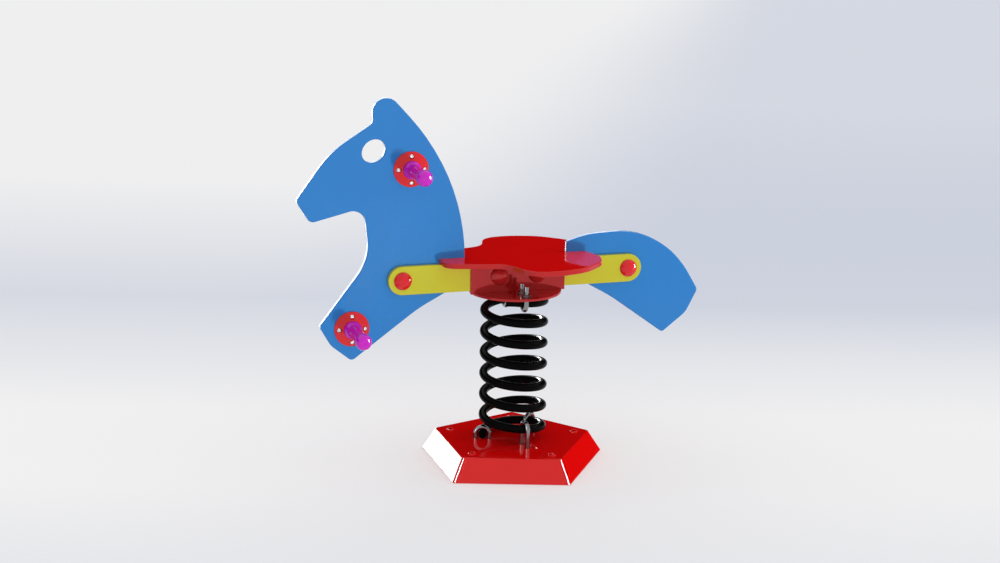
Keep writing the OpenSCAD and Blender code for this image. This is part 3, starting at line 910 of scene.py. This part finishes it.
grip_rows = [(0, core_depth, None), (core_r, core_depth, None), (core_r, 0, None)]
grip_rows += arc_rows(collar_r - collar_corner, collar_corner, collar_corner, -90, 0, 4)
for step in range(1, steps_along):
    share = math.sin(math.pi / 2 * step / steps_along)
    at = collar_corner + (grip_l - collar_corner) * share
    grip_rows.append((grip_radius(at), at, None))
dimple_z = grip_l - dimple_depth
grip_rows += [(thick_r - end_round, grip_l, None), (dimple_r, grip_l, None)]
grip_rows += [(dimple_floor_r, dimple_z, None), (0, dimple_z, None)]
grip = turned("grip_form", grip_rows, 64)
grip_spots = [side_spot(node) for node in grip_nodes]
grips = place_copies(
    "handle_grips", grip, grip_spots, grip_finish, "rider", "grip_magenta", grip_nodes
)

# %% [markdown]
# Button head screws hold the flanges. Each packed screw goes right through the
# panel with a head on both sides, so two half screws with a hexagon socket stand
# for it, shank to shank.

# %% Flange screws
screw_nodes = ["screw_%s_%d" % (level, i) for level in ("upper", "lower") for i in range(1, 5)]
head_r = 0.00475
head_h = 0.0038
shank_r = 0.003
head_corner = 0.0002
socket_half = 0.002
socket_depth = 0.0022
socket_point = 0.0004
lip_share = 1.3
screw_low, screw_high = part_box("screw_upper_1")
half_shank = (screw_high.y - screw_low.y) / 2 - head_h
head_ball = (head_r ** 2 + head_h ** 2) / (2 * head_h)
head_edge = math.degrees(math.asin((head_ball - head_h) / head_ball))
lip = math.degrees(math.acos(lip_share * socket_half / head_ball))
lip_h = head_h - head_ball + head_ball * math.sin(math.radians(lip))
open_radius = 1.0
screw_rows = [(0, -half_shank, None), (shank_r, -half_shank, None), (shank_r, 0, None)]
screw_rows += [(head_r - head_corner, 0, None)]
screw_rows += arc_rows(0, head_h - head_ball, head_ball, head_edge, lip, 8)
screw_rows += [(open_radius, lip_h, socket_half), (open_radius, lip_h - socket_depth, socket_half)]
screw_rows += [(0, lip_h - socket_depth - socket_point, None)]
screw = turned("screw_form", screw_rows, 36)
screw_spots = []
for node in screw_nodes:
    low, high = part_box(node)
    for edge, inward, turn in ((low.y, head_h, to_near), (high.y, -head_h, to_far)):
        middle = (low + high) / 2
        middle.y = edge + inward
        screw_spots.append((middle, turn))
screws = place_copies(
    "flange_screws", screw, screw_spots, screw_finish, "rider", "bright_steel", screw_nodes
)

# %% [markdown]
# The nuts are hexagons whose corners are turned off at 30 degrees on both faces,
# which leaves the round bearing ring that every real nut has.

# %% Nuts
nut_af_half = 0.008
nut_hole_r = 0.00485
nut_face_share = 0.97
chamfer_angle = math.radians(30)
chamfer_steps = 4


def nut_form(name, height):
    corner = nut_af_half / math.cos(math.pi / 6)
    face_r = nut_face_share * nut_af_half
    rise = (corner - face_r) * math.tan(chamfer_angle)
    rows = [(nut_hole_r, 0, None)]
    for step in range(chamfer_steps + 1):
        share = step / chamfer_steps
        rows.append((face_r + (corner - face_r) * share, rise * share, nut_af_half))
    rows += [(r, height - z, flats) for r, z, flats in reversed(rows)]
    rows.append(rows[0])
    return turned(name, rows, 48)


def nut_spots(names, turns_by_name):
    spots = []
    for node in names:
        low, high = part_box(node)
        middle = (low + high) / 2
        spots.append(((middle.x, middle.y, low.z), (0, 0, turns_by_name[node] + math.pi / 6)))
    return spots


upper_nuts = ["upper_nut_%d" % i for i in range(1, 5)]
lower_nuts = ["lower_nut_%d" % i for i in range(1, 7)]
nut_turns = {node: across for node in upper_nuts}
for number, turn in enumerate((front_turn, coil_start, side_turn)):
    for node in lower_nuts[2 * number : 2 * number + 2]:
        nut_turns[node] = turn
for title, body, names in (("upper_nuts", "rider", upper_nuts), ("lower_nuts", "base", lower_nuts)):
    low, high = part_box(names[0])
    nut = nut_form("nut_form", high.z - low.z)
    spots = nut_spots(names, nut_turns)
    place_copies(title, nut, spots, nut_finish, body, "bright_steel", names)

# %% [markdown]
# What is left of the frame shows little or not at all: bolts inside their caps,
# rods inside the grips, the block between the bars and the plate under the
# base's top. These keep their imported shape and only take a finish.

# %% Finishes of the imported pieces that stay
core_finish = moulded("moulded_core_red", (0.5, 0.01, 0.01), 0.2, 0.35)
kept_finishes = {"base_backing": plate_finish, "core_block": core_finish}
kept_steel = ["bolt_front", "bolt_inner_front", "bolt_inner_rear", "bolt_rear"]
kept_steel += ["rod_upper", "rod_lower"]
kept_steel += ["seat_screw_%d" % i for i in range(1, 5)]
for part in kept_steel:
    kept_finishes[part] = steel_finish
for part, finish in kept_finishes.items():
    nodes[part].data.materials.clear()
    nodes[part].data.materials.append(finish)
print("packed pieces kept", len(kept_finishes))

# %% [markdown]
# The rider stands on a wide pale floor, which is also all of the background. A
# lit sweep of paper drifts from white to a cool grey with distance, so a ramp
# along the floor gives its tone. What a plain light can't bring up to white is
# added for the camera and for mirrors only, so it never lights the object, and
# the shadow under the base stays.

# %% Floor
floor_half = 150
floor_z = -0.0004
paper = (0.72, 0.72, 0.73)
near_edge = -2.5
far_edge = 5.3
front_tones = [(-2.2, 0.3), (-1.2, 0.1), (-0.7, 0.22)]
left_tones = [(-0.2, 0.32), (0.3, 0.32), (0.7, 0.22), (1.3, 0.11), (2.1, 0.21), (3.0, 0.3)]
right_tones = [(-0.2, 0.3), (0.3, 0.31), (0.7, 0.23), (1.3, 0.06), (2.1, 0.04)]
right_tones += [(3.2, 0.05), (5.3, 0.1)]
side_lean = 0.19
side_from = -1.25
side_to = 0.15
warm_level = 0.3
cool_shift = 0.45
cool_green = 0.3


def tone_ramp(tree, along, tones):
    ramp = add(tree, "ShaderNodeValToRGB", None, {"Fac": along})
    steps = ramp.color_ramp.elements
    steps.remove(steps[1])
    for number, (distance, level) in enumerate(front_tones + tones):
        position = (distance - near_edge) / (far_edge - near_edge)
        step = steps[0] if number == 0 else steps.new(position)
        step.position = position
        cool = cool_shift * (warm_level - level)
        step.color = (level, level + cool_green * cool, level + cool, 1)
    return ramp.outputs["Color"]


def paper_floor():
    material, tree, shader, place = blank_finish(
        "pale_floor", {"Roughness": 0.9, "Specular IOR Level": 0.0}
    )
    tone(tree, shader, noise(tree, place, 0.25, 0), paper, 0.01)
    to_view = {"Vector": place, "Rotation": (0, 0, -view_turn)}
    turned_place = add(tree, "ShaderNodeMapping", None, to_view)
    parts = add(tree, "ShaderNodeSeparateXYZ", None, {"Vector": turned_place.outputs["Vector"]})
    far_away = {"Value": parts.outputs["Y"], "From Min": near_edge, "From Max": far_edge}
    along = add(tree, "ShaderNodeMapRange", None, far_away).outputs["Result"]
    across_floor = Term(tree, parts.outputs["X"]) - Term(tree, parts.outputs["Y"]) * side_lean
    sideways = {"Value": across_floor.socket, "From Min": side_from, "From Max": side_to}
    side = add(tree, "ShaderNodeMapRange", {"interpolation_type": "SMOOTHSTEP"}, sideways)
    mix = add(tree, "ShaderNodeMix", {"data_type": "RGBA"}, {"Factor": side.outputs["Result"]})
    for label, tones in (("A", left_tones), ("B", right_tones)):
        socket = next(s for s in mix.inputs if s.name == label and s.type == "RGBA")
        tree.links.new(tone_ramp(tree, along, tones), socket)
    result = next(s for s in mix.outputs if s.type == "RGBA")
    tree.links.new(result, shader.inputs["Emission Color"])
    ray = add(tree, "ShaderNodeLightPath").outputs
    seen = Term(tree, ray["Is Camera Ray"]) + Term(tree, ray["Is Glossy Ray"])
    seen = (seen + Term(tree, ray["Is Transmission Ray"])).least(1.0)
    tree.links.new(seen.socket, shader.inputs["Emission Strength"])
    return material


floor_mesh = bpy.data.meshes.new("floor")
floor_mesh.from_pydata(
    [(x * floor_half, y * floor_half, floor_z) for x, y in ((-1, -1), (1, -1), (1, 1), (-1, 1))],
    [],
    [(0, 1, 2, 3)],
)
floor_mesh.materials.append(paper_floor())
floor = new_piece("floor", floor_mesh)
print("floor", 2 * floor_half, "m wide")

# %% [markdown]
# The light is a plain studio. Its sky is bright overhead and in front, and dark
# low down behind, so that the seat and the base's top keep their full colour. A
# ramp over the height of the view makes the one and a mix toward the front the
# other.

# %% World
world = bpy.data.worlds.new("studio")
scene.world = world
world.use_nodes = True
sky = world.node_tree
sky.nodes.clear()
toward = add(sky, "ShaderNodeTexCoord").outputs["Generated"]
parts = add(sky, "ShaderNodeSeparateXYZ", None, {"Vector": toward})
ramp = add(sky, "ShaderNodeValToRGB", None, {"Fac": parts.outputs["Z"]})
steps = ramp.color_ramp.elements
dark = 0.006
dark_to = 0.4
overhead = 1.06
overhead_from = 0.58
in_front = 0.68
for step, position, level in ((steps[0], dark_to, dark), (steps[1], overhead_from, overhead)):
    step.position = position
    step.color = (level, level, level, 1)
back = add(sky, "ShaderNodeBackground", None, {"Color": ramp.outputs["Color"], "Strength": 1.0})
front = add(sky, "ShaderNodeBackground", None, {"Color": (1, 1, 1, 1), "Strength": in_front})
facing_front = add(
    sky,
    "ShaderNodeMapRange",
    {"interpolation_type": "SMOOTHSTEP"},
    {"Value": parts.outputs["Y"], "From Min": 0.0, "From Max": -0.5, "To Min": 0.0, "To Max": 1.0},
)
both = add(sky, "ShaderNodeMixShader", None, {"Fac": facing_front.outputs["Result"]})
sky.links.new(back.outputs["Background"], both.inputs[1])
sky.links.new(front.outputs["Background"], both.inputs[2])
sky_out = sky.nodes.new("ShaderNodeOutputWorld")
sky.links.new(both.outputs["Shader"], sky_out.inputs["Surface"])
print("world", world.name)

# %% [markdown]
# Soft boxes draw the highlights on the edges, caps, grips and wire. Each stands
# where the piece mirrors it to the camera, and its strength is given as the
# brightness of its face, so that a larger box lights more without looking paler.

# %% Soft boxes
def place_lamp(name, kind, at, aim, energy, diffuse, glossy):
    lamp = bpy.data.lights.new(name, kind)
    lamp.energy = energy
    stand = bpy.data.objects.new(name, lamp)
    scene.collection.objects.link(stand)
    facing_aim = (Vector(aim) - Vector(at)).to_track_quat("-Z", "Y")
    stand.matrix_world = Matrix.Translation(at) @ facing_aim.to_matrix().to_4x4()
    stand.visible_camera = False
    stand.visible_diffuse = diffuse
    stand.visible_glossy = glossy
    print(name, "at", at)
    return stand


def soft_box(name, at, aim, width, height, radiance, diffuse=True, glossy=True):
    stand = place_lamp(name, "AREA", at, aim, radiance * width * height * math.pi, diffuse, glossy)
    stand.data.shape = "RECTANGLE"
    stand.data.size = width
    stand.data.size_y = height
    return stand


middle = (0, 0, 0.4)
base_middle = (0, 0, 0.03)
right_side = soft_box("right_side", (3.5, 0, 0.9), middle, 0.8, 2.2, 12.5, glossy=False)
hoop_glint = soft_box("hoop_glint", (3.5, 0, 0.9), middle, 0.8, 2.2, 12.5, diffuse=False)
hoop_left = soft_box("hoop_left", (-2.6, -0.6, 0.6), (0, 0, 0.2), 1.6, 1.4, 3, diffuse=False)
left_low = soft_box("left_low", (-0.95, 1.9, 0.3), (-0.4, 0, 0.5), 0.4, 2.0, 8.5, diffuse=False)
slot_rim = soft_box("slot_rim", (-0.4, 1.9, 0.0), (0.1, 0, 0.46), 0.2, 0.8, 12, diffuse=False)
left_rim = soft_box("left_rim", (-0.65, 1.35, 0.07), (-0.1, 0, 0.03), 1.5, 0.3, 11, diffuse=False)
left_corner = soft_box("left_corner", (-2.17, -1.34, 2.15), base_middle, 0.5, 0.4, 160, diffuse=False)
right_corner = soft_box("right_corner", (2.13, -1.7, 1.95), base_middle, 0.5, 0.4, 160, diffuse=False)
top_rim = soft_box("top_rim", (0, 2.5, 1.5), (-0.1, 0, 0.6), 3.2, 1.2, 3, diffuse=False)
coil_glint = soft_box("coil_glint", (0.065, 0.33, 0.28), (0.065, 0, 0.2), 0.05, 0.32, 2.5, diffuse=False)
coil_glint.data.spread = math.radians(24)
grip_glint = soft_box("grip_glint", (2.44, -1.56, 0.75), (-0.2, -0.1, 0.55), 1.7, 1.3, 25, diffuse=False)
cap_glint = soft_box("cap_glint", (3.0, -0.3, 0.35), middle, 1.2, 1.5, 25, diffuse=False)
screw_glint = soft_box("screw_glint", (0.6, -2.4, 0.25), (-0.2, 0, 0.6), 1.6, 1.0, 1.6, diffuse=False)

# %% [markdown]
# Some lamps are there for one piece only, as a flag or a snoot would keep them
# in a studio. Light linking does that here: a lamp's own list says which pieces
# it lights, or which it leaves out. Two low lamps shine up from the front and the
# back, so the floor is left out of what blocks them. Beside each a weaker one that
# casts no shadow keeps the shadows on the panels light.

# %% Lamps for single pieces
def link_list(stand, pieces, state):
    group = bpy.data.collections.new(stand.name + "_list")
    for piece in pieces:
        group.objects.link(piece)
    for entry in group.collection_objects:
        entry.light_linking.link_state = state
    return group


wires = [lower_wire, upper_wire]
front_panel, rear_panel = panels
for stand, pieces in (
    (hoop_glint, hoops + wires),
    (hoop_left, hoops),
    (left_low, [front_panel]),
    (slot_rim, [rear_panel]),
    (left_rim, [base]),
    (left_corner, [base]),
    (right_corner, [base]),
    (top_rim, panels),
    (coil_glint, wires),
    (grip_glint, [grips]),
    (cap_glint, [caps]),
    (screw_glint, [screws]),
):
    stand.light_linking.receiver_collection = link_list(stand, pieces, "INCLUDE")
right_side.light_linking.receiver_collection = link_list(right_side, [floor], "EXCLUDE")

front_low = (0.25, -1.0, 0.15)
back_low = (-0.25, 1.0, 0.15)
low_level = 0.95
fill_level = 0.32
low_front = place_lamp("low_front", "SUN", front_low, middle, low_level, True, False)
low_back = place_lamp("low_back", "SUN", back_low, middle, low_level, True, False)
front_fill = place_lamp("front_fill", "SUN", front_low, middle, fill_level, True, False)
back_fill = place_lamp("back_fill", "SUN", back_low, middle, fill_level, True, False)
for stand in (low_front, low_back):
    stand.data.angle = math.radians(4)
for stand in (front_fill, back_fill):
    stand.data.use_shadow = False
    stand.light_linking.receiver_collection = link_list(stand, [floor], "EXCLUDE")
for stand in (low_front, low_back, left_rim):
    stand.light_linking.blocker_collection = link_list(stand, [floor], "EXCLUDE")
for stand in (left_low, slot_rim):
    stand.light_linking.blocker_collection = link_list(stand, [floor, seat], "EXCLUDE")
